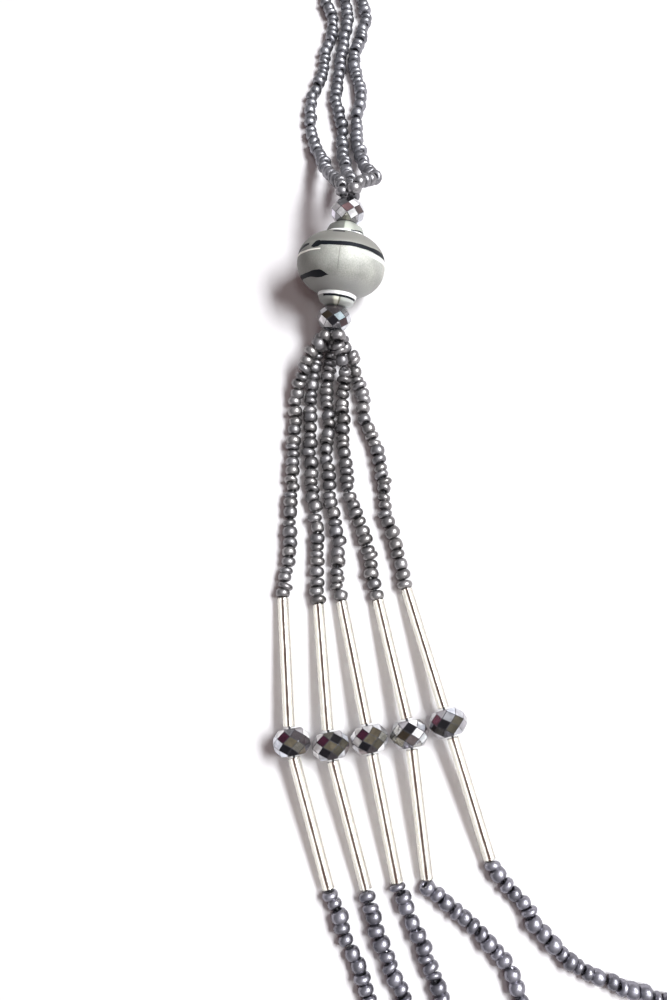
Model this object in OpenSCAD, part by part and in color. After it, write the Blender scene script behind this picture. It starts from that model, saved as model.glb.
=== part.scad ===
// A long necklace of seed bead strings, glass bugles and faceted crystals, lying flat.
// X runs across the wearer, +Y runs up to the neck, and Z = 0 is the surface it lies on.
// The left half is laid out by hand and the right half is its mirror image.

/* [Main bead] */
// Width of the round body, across the thread
main_bead_w = 21; // [19:0.2:22]
// Height of the round body, along the thread
main_bead_h = 15.2; // [14:0.2:17]
// Fullness of the round body: 2 is an ellipse, and more is fuller at its shoulders
main_bead_fullness = 2.2; // [2:0.05:2.4]
// Width of the rim where each collar leaves the body
collar_rim_w = 9.2; // [8:0.2:10]
// Width of the small end of each collar
collar_tip_w = 5.2; // [4:0.2:6]
// Distance from the middle of the bead to the end of a collar
collar_reach = 9.9; // [9.5:0.1:10.5]
// How far the neck end is lifted off the surface, in degrees
main_bead_lift = 16; // [12:1:18]

/* [Crystals] */
// Width of a faceted crystal, across its thread
crystal_w = 8.3; // [7.8:0.1:8.3]
// Length of a faceted crystal, along its thread
crystal_l = 5.4; // [5:0.1:6]

/* [Bugles] */
// Width of a glass bugle
bugle_w = 2.6; // [2:0.1:2.8]
// Length of a glass bugle, before each one's own small difference
bugle_l = 26; // [25:0.1:27]

/* [Strings] */
// Width of the seed beads, and so of each string of them
seed_w = 3; // [2.8:0.1:3]
// Width of the thread
thread_w = 0.5; // [0.3:0.1:0.7]

/* [Clasp] */
// Length of the clasp, along the strings
clasp_l = 11; // [8:0.5:14]
// Width of the clasp, across the three strings
clasp_w = 12; // [11:0.5:14]
// Thickness of the clasp
clasp_t = 3.4; // [3:0.1:5]

/* [Hidden] */
sides = ["left", "right"];
columns_n = 5;
swags_n = 5;
string_z = seed_w / 2;

// Bores, and the gaps that keep neighbours apart along the thread
main_bore_w = 1.8;
end_crystal_bore_w = 1.6;
crystal_bore_w = 1.2;
bugle_bore_w = 1.7;
bundle_w = 1.2;
bead_gap = 0.15;
bugle_gap = 0.4;
string_gap = 0.3;
thread_gap = 0.15;
parting_gap = 0.4;
parting_r = 0.6;

// Eight facets round a crystal, and the widths that set the slope of each row of them
crystal_facets = 8;
belt_r = crystal_w / 2 * cos(180 / crystal_facets);
lower_row_r = crystal_w / 2;
lower_row_end_r = 0.66 * lower_row_r;
upper_row_r = 1.194 * lower_row_r;
upper_row_end_r = 0.571 * lower_row_r;

// The main bead rests on its widest part, its neck end lifted and turned to the middle
main_bead_x = -78.2;
main_bead_y = 30.4;
main_bead_turn = 7.7;
rest_power = main_bead_fullness / (main_bead_fullness - 1);
main_bead_z = pow(
    pow(main_bead_w * cos(main_bead_lift), rest_power)
        + pow(main_bead_h * sin(main_bead_lift), rest_power),
    1 / rest_power) / 2;
body_steps = 24;
lip_t = 0.5;
shoulder_t = 0.9;
shoulder_in = 0.6;
end_crystal_at = collar_reach + bead_gap + crystal_l / 2;
bundle_reach = collar_reach + bead_gap + crystal_l;
string_reach = bundle_reach + 2 * parting_gap + 0.05;
main_run = 2;
bugle_run = 1.2;

// Where each string starts round the thread above and below the main bead
neck_fan_r = 2.2;
neck_fan_angles = [170, 280, 60];
front_fan_r = 2.8;
front_fan_angles = [126, 198, 270, 54, 342];

// One row for each column of the front, from the outside in: crystal x and y, the headings
// of the bugles above and below it, in degrees from -Y towards the middle, half facets that
// the crystal is rolled by, 0 to rest on a facet and 1 on a corner, and how much longer than
// bugle_l the bugles above and below are
columns = [
    [-88.7, -78.4, 4, 16, 0, 1.5, 0.3],
    [-80.6, -79.1, 4.7, 15.2, 0, 0.8, -0.5],
    [-72.5, -77.8, 11, 11, 0, 0.6, -0.8],
    [-64.2, -76.8, 12, 6, 1, 0, -0.7],
    [-56, -74.5, 15, 16.3, 1, 0.6, -1.1],
];
rest_gap = 0.02;

// The neck strings, from the main bead up: outer, middle and inner, then round the neck
neck_routes = [
    [[-79.3, 53, 12.5], [-81, 57.5, 9], [-82.5, 63, 5.5], [-84.2, 69.5, 2.5], [-85.8, 75, 1.5],
     [-86.3, 81, 1.5], [-86, 87, 1.5], [-84, 92.5, 1.5], [-82.8, 98, 1.5], [-82, 104, 1.5],
     [-80.5, 109, 1.5], [-80.5, 115, 1.5], [-82, 121, 1.5]],
    [[-76, 54, 10.5], [-76.7, 59, 7], [-77.2, 65, 4], [-77.7, 71, 1.6], [-77.5, 75.5, 1.5],
     [-78.5, 81, 1.5], [-79.3, 87, 1.5], [-78.8, 92.5, 1.5], [-78.2, 98, 1.5], [-77.5, 104, 1.5],
     [-76.5, 109, 1.5], [-76, 114, 1.5], [-76.5, 121, 1.5]],
    [[-72.6, 50.2, 15.8], [-70.2, 53.2, 12.5], [-70.7, 57.5, 9], [-72, 62, 6], [-72.8, 67.5, 3.2],
     [-73.7, 73, 1.5], [-74, 79, 1.5], [-73.5, 84.3, 1.5], [-72.5, 88.3, 1.5], [-73.3, 93, 1.5],
     [-74.3, 98.5, 1.5], [-73.7, 104, 1.5], [-72, 109.5, 1.5], [-71, 114.5, 1.5], [-72, 121, 1.5]],
];
neck_arc_y = 116.5;
neck_arc_rs = [82, 77.5, 73];
neck_arc_start = 174;
neck_arc_rings = 13;

// The fan strings, from the main bead down to the upper bugles
fan_routes = [
    [[-85.3, 9.5, 6.4], [-87, 6, 4.8], [-89, 0, 2], [-89.1, -5, 1.5], [-89.3, -10, 1.5],
     [-89.6, -15, 1.5], [-89.4, -20, 1.5], [-89.9, -26, 1.5], [-89.9, -31, 1.5], [-90.2, -37, 1.5],
     [-90.7, -43, 1.5]],
    [[-84.2, 9.3, 2.6], [-85, 4, 1.5], [-85.5, -1.5, 1.5], [-85.5, -7, 1.5], [-85.5, -13, 1.5],
     [-85, -19, 1.5], [-85, -24, 1.5], [-84.2, -29.5, 1.5], [-83.7, -36, 1.5], [-83.7, -43, 1.5]],
    [[-81, 9, 1.5], [-81.5, 4, 1.5], [-81.5, -2, 1.5], [-81, -7, 1.5], [-82, -13.5, 1.5],
     [-81, -19, 1.5], [-80.5, -25, 1.5], [-79.5, -31.5, 1.5], [-79, -38, 1.5], [-79.2, -43, 1.5]],
    [[-78, 8, 5.5], [-77.5, 3.5, 3], [-78, -1, 1.5], [-77.5, -6.5, 1.5], [-78, -12.5, 1.5],
     [-77, -17, 1.5], [-76.5, -23, 1.5], [-74.5, -29, 1.5], [-73, -34, 1.5], [-71.5, -39, 1.5],
     [-71.5, -42, 1.5]],
    [[-75, 9, 2.5], [-74, 5, 1.5], [-73, 0, 1.5], [-73, -4.5, 1.5], [-71, -9, 1.5],
     [-69.5, -15, 1.5], [-68.5, -21, 1.5], [-68, -28, 1.5], [-66, -35, 1.5], [-65, -39.5, 1.5]],
];

// The left half of each swag, from the lower bugles to the middle of the front
swag_routes = [
    [[-79, -111, 1.5], [-77.5, -115.5, 1.5], [-75.3, -119.5, 1.5], [-73.7, -125, 1.5],
     [-71, -131.5, 1.5], [-68, -138.5, 1.5], [-64.5, -146.5, 1.5], [-60.5, -154.5, 1.5],
     [-56, -162.5, 1.5], [-51, -170, 1.5], [-45, -178, 1.5], [-38, -185, 1.5],
     [-30, -191, 1.5], [-21, -195.5, 1.5], [-11, -198, 1.5], [0, -198.5, 1.5]],
    [[-72.3, -111, 1.5], [-71, -115, 1.5], [-69.3, -119.5, 1.5], [-67, -125, 1.5],
     [-63.5, -131.5, 1.5], [-60, -138.5, 1.5], [-56, -146, 1.5], [-51.5, -153, 1.5],
     [-46.5, -160, 1.5], [-40.5, -166.5, 1.5], [-33.5, -172, 1.5], [-25.5, -177, 1.5],
     [-17, -179.5, 1.5], [-8.5, -181, 1.5], [0, -181, 1.5]],
    [[-65.5, -110, 1.5], [-63.7, -114.5, 1.5], [-61.7, -118.5, 1.5], [-59.8, -124, 1.5],
     [-57.5, -129, 1.5], [-54, -134.5, 1.5], [-50, -140.5, 1.5], [-45, -146.5, 1.5],
     [-39, -152.5, 1.5], [-32, -158, 1.5], [-24.5, -161.5, 1.5], [-16.5, -163.5, 1.5],
     [-8, -164, 1.5], [0, -164, 1.5]],
    [[-58.8, -108, 1.5], [-55.3, -111, 1.5], [-51.2, -114.2, 1.5], [-48.3, -117.5, 1.5],
     [-45.5, -120.5, 1.5], [-43.7, -125.5, 1.5], [-40.5, -131, 1.5], [-35, -136.5, 1.5], [-28, -141, 1.5],
     [-21, -144, 1.5], [-14, -145.5, 1.5], [-7, -146, 1.5], [0, -146, 1.5]],
    [[-45.5, -105.5, 1.5], [-42, -109.3, 1.5], [-39.5, -113.5, 1.5], [-36, -117.3, 1.5],
     [-32, -120.7, 1.5], [-26, -123.3, 1.5], [-18.5, -125.8, 1.5], [-10, -127.5, 1.5],
     [0, -128, 1.5]],
];

// Directions of the main bead: across it, along its thread to the neck, and square to both
main_across = [cos(main_bead_turn), -sin(main_bead_turn), 0];
main_along = [
    cos(main_bead_lift) * sin(main_bead_turn),
    cos(main_bead_lift) * cos(main_bead_turn),
    sin(main_bead_lift),
];
main_up = cross(main_across, main_along);
main_bead_at = [main_bead_x, main_bead_y, main_bead_z];

// A point beside the main bead's thread: a distance along it, then a radius and an angle
function by_main_thread(along, r, angle) =
    main_bead_at + along * main_along + r * cos(angle) * main_across + r * sin(angle) * main_up;

// The unit vector that leads away from the neck, turned towards the middle, and dipped
function heading(turn, dip = 0) = [sin(turn) * cos(dip), -cos(turn) * cos(dip), -sin(dip)];

function crystal_z(i) = rest_gap + (columns[i][4] == 0 ? belt_r : crystal_w / 2);
function crystal_at(i) = [columns[i][0], columns[i][1], crystal_z(i)];
function crystal_turn(i) = (columns[i][2] + columns[i][3]) / 2;
function crystal_end(i, way) =
    crystal_at(i) + way * (crystal_l / 2 + bugle_gap) * heading(crystal_turn(i));

// A bugle dips from the crystal to the surface: way is -1 above the crystal and 1 below
function bugle_length(i, way) = bugle_l + columns[i][way < 0 ? 5 : 6];
function bugle_slope(i, way) = asin((crystal_z(i) - string_z) / bugle_length(i, way));
function bugle_turn(i, way) = columns[i][way < 0 ? 2 : 3];
function bugle_far_end(i, way) =
    crystal_end(i, way)
        + way * bugle_length(i, way) * heading(bugle_turn(i, way), way * bugle_slope(i, way));
function past_bugle(i, way, gap) =
    bugle_far_end(i, way) + way * gap * heading(bugle_turn(i, way));

function neck_arc(i) =
    let (r = neck_arc_rs[i], last = 90 + asin((clasp_l / 2 + string_gap) / r))
    [for (k = [1:neck_arc_rings])
        let (a = neck_arc_start + (last - neck_arc_start) * (k - 1) / (neck_arc_rings - 1))
        [r * cos(a), neck_arc_y + r * sin(a), string_z]];

// Each string starts and ends in line with the bead that it meets
function neck_start(i) = [for (run = [0, main_run])
    by_main_thread(string_reach + run, neck_fan_r, neck_fan_angles[i])];
function fan_start(i) = [for (run = [0, main_run])
    by_main_thread(-string_reach - run, front_fan_r, front_fan_angles[i])];
function neck_route(i) = concat(neck_start(i), neck_routes[i], neck_arc(i));
function fan_route(i) = concat(
    fan_start(i),
    fan_routes[i],
    [for (run = [bugle_run, 0]) past_bugle(i, -1, string_gap + run)]);
function half_swag(i) = concat(
    [for (run = [0, bugle_run]) past_bugle(i, 1, string_gap + run)],
    swag_routes[i]);
function swag_route(i) =
    let (half = half_swag(i), n = len(half))
    concat(half, [for (k = [n - 2:-1:0]) [-half[k].x, half[k].y, half[k].z]]);

function unit(v) = v / norm(v);
function tangent(points, i) =
    unit(points[min(i + 1, len(points) - 1)] - points[max(i - 1, 0)]);
function ring(points, i, w, n) =
    let (t = tangent(points, i), side = unit(cross(t, [0, 0, 1])), up = cross(side, t))
    [for (k = [0:n - 1])
        let (a = 360 * k / n)
        points[i] + w / 2 * (cos(a) * side + sin(a) * up)];

// A closed tube swept along points, with a ring of n sides at each of them
module tube(points, w, n) {
    last = len(points) - 1;
    rings = [for (i = [0:last]) each ring(points, i, w, n)];
    walls = [for (i = [0:last - 1], k = [0:n - 1])
        let (next = (k + 1) % n)
        [i * n + k, i * n + next, (i + 1) * n + next, (i + 1) * n + k]];
    caps = [[for (k = [n - 1:-1:0]) k], [for (k = [0:n - 1]) last * n + k]];
    polyhedron(rings, concat(walls, caps));
}

// A round rod between two points
module rod(from, to, w, extra = 0) {
    v = to - from;
    translate(from)
        rotate([0, acos(v.z / norm(v)), atan2(v.y, v.x)])
        translate([0, 0, -extra])
        cylinder(h = norm(v) + 2 * extra, d = w, $fn = 32);
}

// One row of facets on both ends of a crystal, its slope set by a radius at the belt and
// one at the ends
module facet_row(belt, end, turn) {
    corner = 1 / cos(180 / crystal_facets);
    half = crystal_l / 2;
    rotate([0, 0, turn])
        rotate_extrude($fn = crystal_facets)
        polygon([[0, -half], [end * corner, -half], [belt * corner, 0], [end * corner, half],
            [0, half]]);
}

// A drilled crystal with a flat table at each end of its bore
module crystal(bore_w) {
    half_step = 180 / crystal_facets;
    difference() {
        intersection() {
            facet_row(belt_r, belt_r, half_step);
            facet_row(lower_row_r, lower_row_end_r, 0);
            facet_row(upper_row_r, upper_row_end_r, half_step);
        }
        cylinder(h = 2 * crystal_l, d = bore_w, center = true, $fn = 32);
    }
}

// Moves what is drawn round Z, with the neck end up, to the main bead's place
module at_main_bead() {
    translate(main_bead_at)
        rotate([main_bead_lift - 90, 0, -main_bead_turn])
        children();
}

module main_bead() {
    rim_r = collar_rim_w / 2;
    neck_r = rim_r - 0.2;
    power = 2 / main_bead_fullness;
    rim_angle = acos(pow(neck_r / (main_bead_w / 2), 1 / power));
    rim_z = main_bead_h / 2 * pow(sin(rim_angle), power);
    tip_r = collar_tip_w / 2;
    body = [for (k = [0:body_steps])
        let (a = rim_angle * (2 * k / body_steps - 1))
        [main_bead_w / 2 * pow(cos(a), power),
            sign(a) * main_bead_h / 2 * pow(abs(sin(a)), power)]];
    color("gray")
        at_main_bead()
        rotate_extrude($fn = 96)
        polygon(concat(
            [[main_bore_w / 2, collar_reach], [main_bore_w / 2, -collar_reach],
             [tip_r, -collar_reach], [rim_r - shoulder_in, -collar_reach + shoulder_t],
             [rim_r, -rim_z - lip_t], [rim_r, -rim_z]],
            body,
            [[rim_r, rim_z], [rim_r, rim_z + lip_t],
             [rim_r - shoulder_in, collar_reach - shoulder_t], [tip_r, collar_reach]]));
}

module end_crystal(way) {
    color("silver")
        at_main_bead()
        translate([0, 0, way * end_crystal_at])
        rotate([0, 0, way < 0 ? 180 / crystal_facets : 0])
        crystal(end_crystal_bore_w);
}

module row_crystal(i) {
    color("silver")
        translate(crystal_at(i))
        rotate([90, 0, crystal_turn(i)])
        rotate([0, 0, columns[i][4] * 180 / crystal_facets])
        crystal(crystal_bore_w);
}

module bugle(i, way) {
    near = crystal_end(i, way);
    far = bugle_far_end(i, way);
    color("ivory")
        difference() {
            rod(near, far, bugle_w);
            rod(near, far, bugle_bore_w, 1);
        }
}

module seed_string(points) {
    color("dimgray")
        tube(points, seed_w, 8);
}

// A thread from the bundle in the main bead to the start of one string
module parted_thread(way, r, angle) {
    tube([by_main_thread(way * (bundle_reach + parting_gap), parting_r, angle),
        by_main_thread(way * (string_reach - parting_gap), r, angle)], thread_w, 6);
}

// The bundle of threads through the main bead, parting to the strings at both ends
module main_thread() {
    rod(by_main_thread(-bundle_reach, 0, 0), by_main_thread(bundle_reach, 0, 0), bundle_w);
    for (a = neck_fan_angles)
        parted_thread(1, neck_fan_r, a);
    for (a = front_fan_angles)
        parted_thread(-1, front_fan_r, a);
}

module column_thread(i) {
    half = crystal_l / 2 * heading(crystal_turn(i));
    stub = string_gap - thread_gap;
    tube([past_bugle(i, -1, stub), crystal_end(i, -1), crystal_at(i) - half, crystal_at(i) + half,
        crystal_end(i, 1), past_bugle(i, 1, stub)], thread_w, 6);
}

module thread() {
    color("black")
        for (side = sides)
            on_side(side) {
                main_thread();
                for (i = [0:columns_n - 1])
                    column_thread(i);
            }
}

module clasp() {
    corner_r = 2;
    color("dimgray")
        translate([0, neck_arc_y + neck_arc_rs[1], 0])
        linear_extrude(clasp_t) {
            square([clasp_l - 2 * corner_r, clasp_w], center = true);
            square([clasp_l, clasp_w - 2 * corner_r], center = true);
            for (x = [-1, 1], y = [-1, 1])
                translate([x * (clasp_l / 2 - corner_r), y * (clasp_w / 2 - corner_r)])
                    circle(corner_r, $fn = 48);
        }
}

// The left half as drawn, or its mirror image
module on_side(side) {
    if (side == "right")
        mirror([1, 0, 0]) children();
    else
        children();
}

column_nodes = ["upper_bugle", "crystal", "lower_bugle", "fan_string"];

thread();
clasp();
for (s = sides) {
    on_side(s) main_bead();
    on_side(s) end_crystal(1);
    on_side(s) end_crystal(-1);
    for (i = [1:3])
        on_side(s) seed_string(neck_route(i - 1));
    for (i = [1:columns_n]) {
        on_side(s) bugle(i - 1, -1);
        on_side(s) row_crystal(i - 1);
        on_side(s) bugle(i - 1, 1);
        on_side(s) seed_string(fan_route(i - 1));
    }
}
for (i = [1:swags_n])
    seed_string(swag_route(i - 1));
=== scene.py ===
import math

import bmesh
import bpy
from mathutils import Matrix, Vector


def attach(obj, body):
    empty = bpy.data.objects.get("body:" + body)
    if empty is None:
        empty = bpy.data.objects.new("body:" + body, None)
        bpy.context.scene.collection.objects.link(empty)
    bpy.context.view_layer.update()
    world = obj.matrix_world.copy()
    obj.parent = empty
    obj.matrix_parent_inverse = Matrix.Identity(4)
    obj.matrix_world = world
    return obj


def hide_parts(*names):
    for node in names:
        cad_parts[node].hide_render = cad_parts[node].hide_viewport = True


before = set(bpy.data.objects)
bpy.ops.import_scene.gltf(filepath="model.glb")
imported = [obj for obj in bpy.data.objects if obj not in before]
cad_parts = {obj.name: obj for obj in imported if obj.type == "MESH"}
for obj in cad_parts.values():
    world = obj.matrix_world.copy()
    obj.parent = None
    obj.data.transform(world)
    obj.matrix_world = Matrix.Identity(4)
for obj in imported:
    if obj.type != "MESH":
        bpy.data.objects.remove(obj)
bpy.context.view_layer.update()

mm = 0.001
degreesPerRadian = 57.2958
facets = 8  # round each crystal
halfFacet = math.pi / facets
sides = {"left": 1, "right": -1}  # and what the left half's x is multiplied by


# Helpers for node trees, objects and meshes

def plug(tree, socket, value):  # a link, a colour of three numbers or a plain value
    if isinstance(value, bpy.types.NodeSocket):
        tree.links.new(value, socket)
    elif socket.type == "RGBA" and len(value) == 3:
        socket.default_value = (*value, 1)
    else:
        socket.default_value = value


def addNode(tree, kind, inputs=None, **settings):
    made = tree.nodes.new(kind)
    for name, value in settings.items():
        setattr(made, name, value)
    for socket, value in (inputs or {}).items():
        plug(tree, made.inputs[socket], value)
    return made


def addMath(tree, operation, *values, clamp=False):
    return addNode(tree, "ShaderNodeMath", dict(enumerate(values)),
                   operation=operation, use_clamp=clamp).outputs[0]


def fold(tree, operation, values):  # the same operation over all of them
    made = values[0]
    for value in values[1:]:
        made = addMath(tree, operation, made, value)
    return made


def addRamp(tree, factor, stops):
    made = addNode(tree, "ShaderNodeValToRGB", {0: factor})
    ramp = made.color_ramp
    while len(ramp.elements) < len(stops):
        ramp.elements.new(0.5)
    for element, (place, colour) in zip(ramp.elements, stops):
        element.position = place
        element.color = (*colour, 1)
    return made.outputs[0]


def addRange(tree, value, fromLow, fromHigh, toLow, toHigh, smooth=True):
    return addNode(tree, "ShaderNodeMapRange",
                   {0: value, 1: fromLow, 2: fromHigh, 3: toLow, 4: toHigh},
                   interpolation_type="SMOOTHSTEP" if smooth else "LINEAR").outputs[0]


def addMix(tree, factor, first, second, blend="MIX"):
    return addNode(tree, "ShaderNodeMix", {0: factor, 6: first, 7: second},
                   data_type="RGBA", blend_type=blend).outputs[2]


def addLevel(tree, colour, level):  # the colour times a grey level
    grey = addNode(tree, "ShaderNodeCombineXYZ", {0: level, 1: level, 2: level}).outputs[0]
    return addMix(tree, 1, colour, grey, "MULTIPLY")


def addNoise(tree, place, scale, *, detail, **more):
    return addNode(tree, "ShaderNodeTexNoise",
                   {"Vector": place, "Scale": scale, "Detail": detail, **more}).outputs[0]


def addBump(tree, height, strength, distance, **more):
    return addNode(tree, "ShaderNodeBump", {"Height": height, "Strength": strength,
                                            "Distance": distance, **more}).outputs[0]


def objectPlace(tree):
    return addNode(tree, "ShaderNodeTexCoord").outputs["Object"]


def attribute(tree, name):
    return addNode(tree, "ShaderNodeAttribute", attribute_name=name).outputs


def separate(tree, place):
    return addNode(tree, "ShaderNodeSeparateXYZ", {0: place}).outputs


def degreesAround(tree, x, y):  # 0 on the second axis
    return addMath(tree, "MULTIPLY", addMath(tree, "ARCTAN2", x, y), degreesPerRadian)


def lightPath(tree):
    return addNode(tree, "ShaderNodeLightPath").outputs


def throughGlass(tree):  # 1 for what is seen through glass
    return addMath(tree, "GREATER_THAN", lightPath(tree)["Transmission Depth"], 0.5)


def mixShaders(tree, share, first, second):
    return addNode(tree, "ShaderNodeMixShader", {0: share, 1: first, 2: second}).outputs[0]


def setShader(tree, **values):  # by the socket's name, with _ for a space
    for name, value in values.items():
        plug(tree, tree.nodes["Principled BSDF"].inputs[name.replace("_", " ")], value)


def shareSurface(tree, share, other):  # another shader takes a share of the surface
    mixed = mixShaders(tree, share, tree.nodes["Principled BSDF"].outputs[0], other)
    tree.links.new(mixed, tree.nodes["Material Output"].inputs[0])


def newMaterial(name, **values):
    material = bpy.data.materials.new(name)
    material.use_nodes = True
    setShader(material.node_tree, **values)
    return material, material.node_tree


def dimmed(colour, level):
    return tuple(c * level for c in colour)


def addObject(name, data):
    made = bpy.data.objects.new(name, data)
    bpy.context.scene.collection.objects.link(made)
    return made


def meshOf(shape, name, matrix):  # the shape is in millimetres
    shape.transform(Matrix.Scale(mm, 4) @ matrix)
    mesh = bpy.data.meshes.new(name)
    shape.to_mesh(mesh)
    shape.free()
    return mesh


def newPiece(name, mesh, node, materials=(), smooth=False):
    for material in materials:
        mesh.materials.append(material)
    for face in mesh.polygons:
        face.use_smooth = smooth
    piece = addObject(name, mesh)
    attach(piece, "root")
    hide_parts(node)
    return piece


def axes(right, up, front, place):  # columns of a matrix that puts a piece in its place
    return Matrix.Translation(place) @ Matrix((right, up, front)).transposed().to_4x4()


# The layout of the left half, in millimetres and degrees, as the part's own source has it

mainBead = {
    "width": 21, "height": 15.2, "fullness": 2.2, "rimWidth": 9.2, "tipWidth": 5.2, "reach": 9.9,
    "lip": 0.5, "shoulder": 0.9, "shoulderIn": 0.6, "bore": 1.8, "tuck": 0.2,
    "lift": 16, "turn": 7.7, "at": (-78.2, 30.4, 10.3976), "spin": {"left": 0, "right": 38},
    "sides": 128, "steps": 60,
    # Profile of the collar: what each point stands at, out and along the thread, and how far from it
    "collar": [("rim", -0.06, "base", 0), ("rim", 0, "base", 0.06), ("rim", 0, "lip", -0.06),
               ("rim", -0.04, "lip", 0.06), ("inner", 0.06, "shoulder", -0.14),
               ("inner", -0.04, "shoulder", 0), ("inner", -0.18, "shoulder", 0.12),
               ("tip", 0.14, "end", -0.12), ("tip", -0.04, "end", -0.02), ("tip", -0.2, "end", 0),
               ("bore", 0.25, "end", 0), ("bore", 0, "end", -0.2)],
}
crystalSize = {
    "width": 8.3, "length": 5.4, "bore": 1.2, "endBore": 1.6, "edge": 0.08, "endAt": 12.75,
    "kiteEnd": 0.66, "crownStart": 1.194, "crownEnd": 0.571,  # of half the width
}
bugleSize = {"width": 2.6, "length": 26, "bore": 1.7, "lip": 0.14, "lipEase": 0.3, "sides": 32,
             "gap": 0.4}
claspSize = {"length": 11, "width": 12, "thickness": 3.4, "corner": 2, "edge": 0.5}
stringEnds = {"reach": 16.3, "mainRun": 2, "bugleRun": 1.2, "gap": 0.3,
              "neckR": 2.2, "neckAngles": (170, 280, 60),
              "frontR": 2.8, "frontAngles": (126, 198, 270, 54, 342)}
rest = {"string": 1.5, "crystal": 0.02}  # heights of a string's middle and a crystal's lowest edge

# Crystal x and y, half facets of its roll, and for the bugles above and below it their
# heading and how much longer than the usual length they are
columns = [
    {"at": (-88.7, -78.4), "roll": 0, "above": (4, 1.5), "below": (16, 0.3)},
    {"at": (-80.6, -79.1), "roll": 0, "above": (4.7, 0.8), "below": (15.2, -0.5)},
    {"at": (-72.5, -77.8), "roll": 0, "above": (11, 0.6), "below": (11, -0.8)},
    {"at": (-64.2, -76.8), "roll": 1, "above": (12, 0), "below": (6, -0.7)},
    {"at": (-56, -74.5), "roll": 1, "above": (15, 0.6), "below": (16.3, -1.1)},
]
# A point with no height of its own lies on the table
neckRoutes = [
    [(-79.3, 53, 12.5), (-81, 57.5, 9), (-82.5, 63, 5.5), (-84.2, 69.5, 2.5), (-85.8, 75),
     (-86.3, 81), (-86, 87), (-84, 92.5), (-82.8, 98), (-82, 104), (-80.5, 109), (-80.5, 115),
     (-82, 121)],
    [(-76, 54, 10.5), (-76.7, 59, 7), (-77.2, 65, 4), (-77.7, 71, 1.6), (-77.5, 75.5),
     (-78.5, 81), (-79.3, 87), (-78.8, 92.5), (-78.2, 98), (-77.5, 104), (-76.5, 109), (-76, 114),
     (-76.5, 121)],
    [(-72.6, 50.2, 15.8), (-70.2, 53.2, 12.5), (-70.7, 57.5, 9), (-72, 62, 6), (-72.8, 67.5, 3.2),
     (-73.7, 73), (-74, 79), (-73.5, 84.3), (-72.5, 88.3), (-73.3, 93), (-74.3, 98.5),
     (-73.7, 104), (-72, 109.5), (-71, 114.5), (-72, 121)],
]
neckArc = {"y": 116.5, "radii": (82, 77.5, 73), "start": 174, "rings": 13}
fanRoutes = [
    [(-85.3, 9.5, 6.4), (-87, 6, 4.8), (-89, 0, 2), (-89.1, -5), (-89.3, -10), (-89.6, -15),
     (-89.4, -20), (-89.9, -26), (-89.9, -31), (-90.2, -37), (-90.7, -43)],
    [(-84.2, 9.3, 2.6), (-85, 4), (-85.5, -1.5), (-85.5, -7), (-85.5, -13), (-85, -19),
     (-85, -24), (-84.2, -29.5), (-83.7, -36), (-83.7, -43)],
    [(-81, 9), (-81.5, 4), (-81.5, -2), (-81, -7), (-82, -13.5), (-81, -19), (-80.5, -25),
     (-79.5, -31.5), (-79, -38), (-79.2, -43)],
    [(-78, 8, 5.5), (-77.5, 3.5, 3), (-78, -1), (-77.5, -6.5), (-78, -12.5), (-77, -17),
     (-76.5, -23), (-74.5, -29), (-73, -34), (-71.5, -39), (-71.5, -42)],
    [(-75, 9, 2.5), (-74, 5), (-73, 0), (-73, -4.5), (-71, -9), (-69.5, -15), (-68.5, -21),
     (-68, -28), (-66, -35), (-65, -39.5)],
]
swagRoutes = [
    [(-79, -111), (-77.5, -115.5), (-75.3, -119.5), (-73.7, -125), (-71, -131.5), (-68, -138.5),
     (-64.5, -146.5), (-60.5, -154.5), (-56, -162.5), (-51, -170), (-45, -178), (-38, -185),
     (-30, -191), (-21, -195.5), (-11, -198), (0, -198.5)],
    [(-72.3, -111), (-71, -115), (-69.3, -119.5), (-67, -125), (-63.5, -131.5), (-60, -138.5),
     (-56, -146), (-51.5, -153), (-46.5, -160), (-40.5, -166.5), (-33.5, -172), (-25.5, -177),
     (-17, -179.5), (-8.5, -181), (0, -181)],
    [(-65.5, -110), (-63.7, -114.5), (-61.7, -118.5), (-59.8, -124), (-57.5, -129),
     (-54, -134.5), (-50, -140.5), (-45, -146.5), (-39, -152.5), (-32, -158), (-24.5, -161.5),
     (-16.5, -163.5), (-8, -164), (0, -164)],
    [(-58.8, -108), (-55.3, -111), (-51.2, -114.2), (-48.3, -117.5), (-45.5, -120.5),
     (-43.7, -125.5), (-40.5, -131), (-35, -136.5), (-28, -141), (-21, -144), (-14, -145.5),
     (-7, -146), (0, -146)],
    [(-45.5, -105.5), (-42, -109.3), (-39.5, -113.5), (-36, -117.3), (-32, -120.7),
     (-26, -123.3), (-18.5, -125.8), (-10, -127.5), (0, -128)],
]

beadTurn, beadLift = math.radians(mainBead["turn"]), math.radians(mainBead["lift"])
beadAcross = Vector((math.cos(beadTurn), -math.sin(beadTurn), 0))
beadAlong = Vector((math.cos(beadLift) * math.sin(beadTurn),
                    math.cos(beadLift) * math.cos(beadTurn), math.sin(beadLift)))
beadUp = beadAcross.cross(beadAlong)
beadAt = Vector(mainBead["at"])


def turned(degrees, dip=0):  # away from the neck, turned to the middle, and dipped
    a, d = math.radians(degrees), math.radians(dip)
    return Vector((math.sin(a) * math.cos(d), -math.cos(a) * math.cos(d), -math.sin(d)))


def onSide(point, side):
    return Vector((sides[side] * point[0], point[1], point[2]))


def mainAxes(side):  # across, up and along the main bead's thread, and the bead's middle
    along = onSide(beadAlong, side)
    across = Vector((beadAcross.x, sides[side] * beadAcross.y, 0))
    return across, across.cross(along), along, onSide(beadAt, side)


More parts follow.
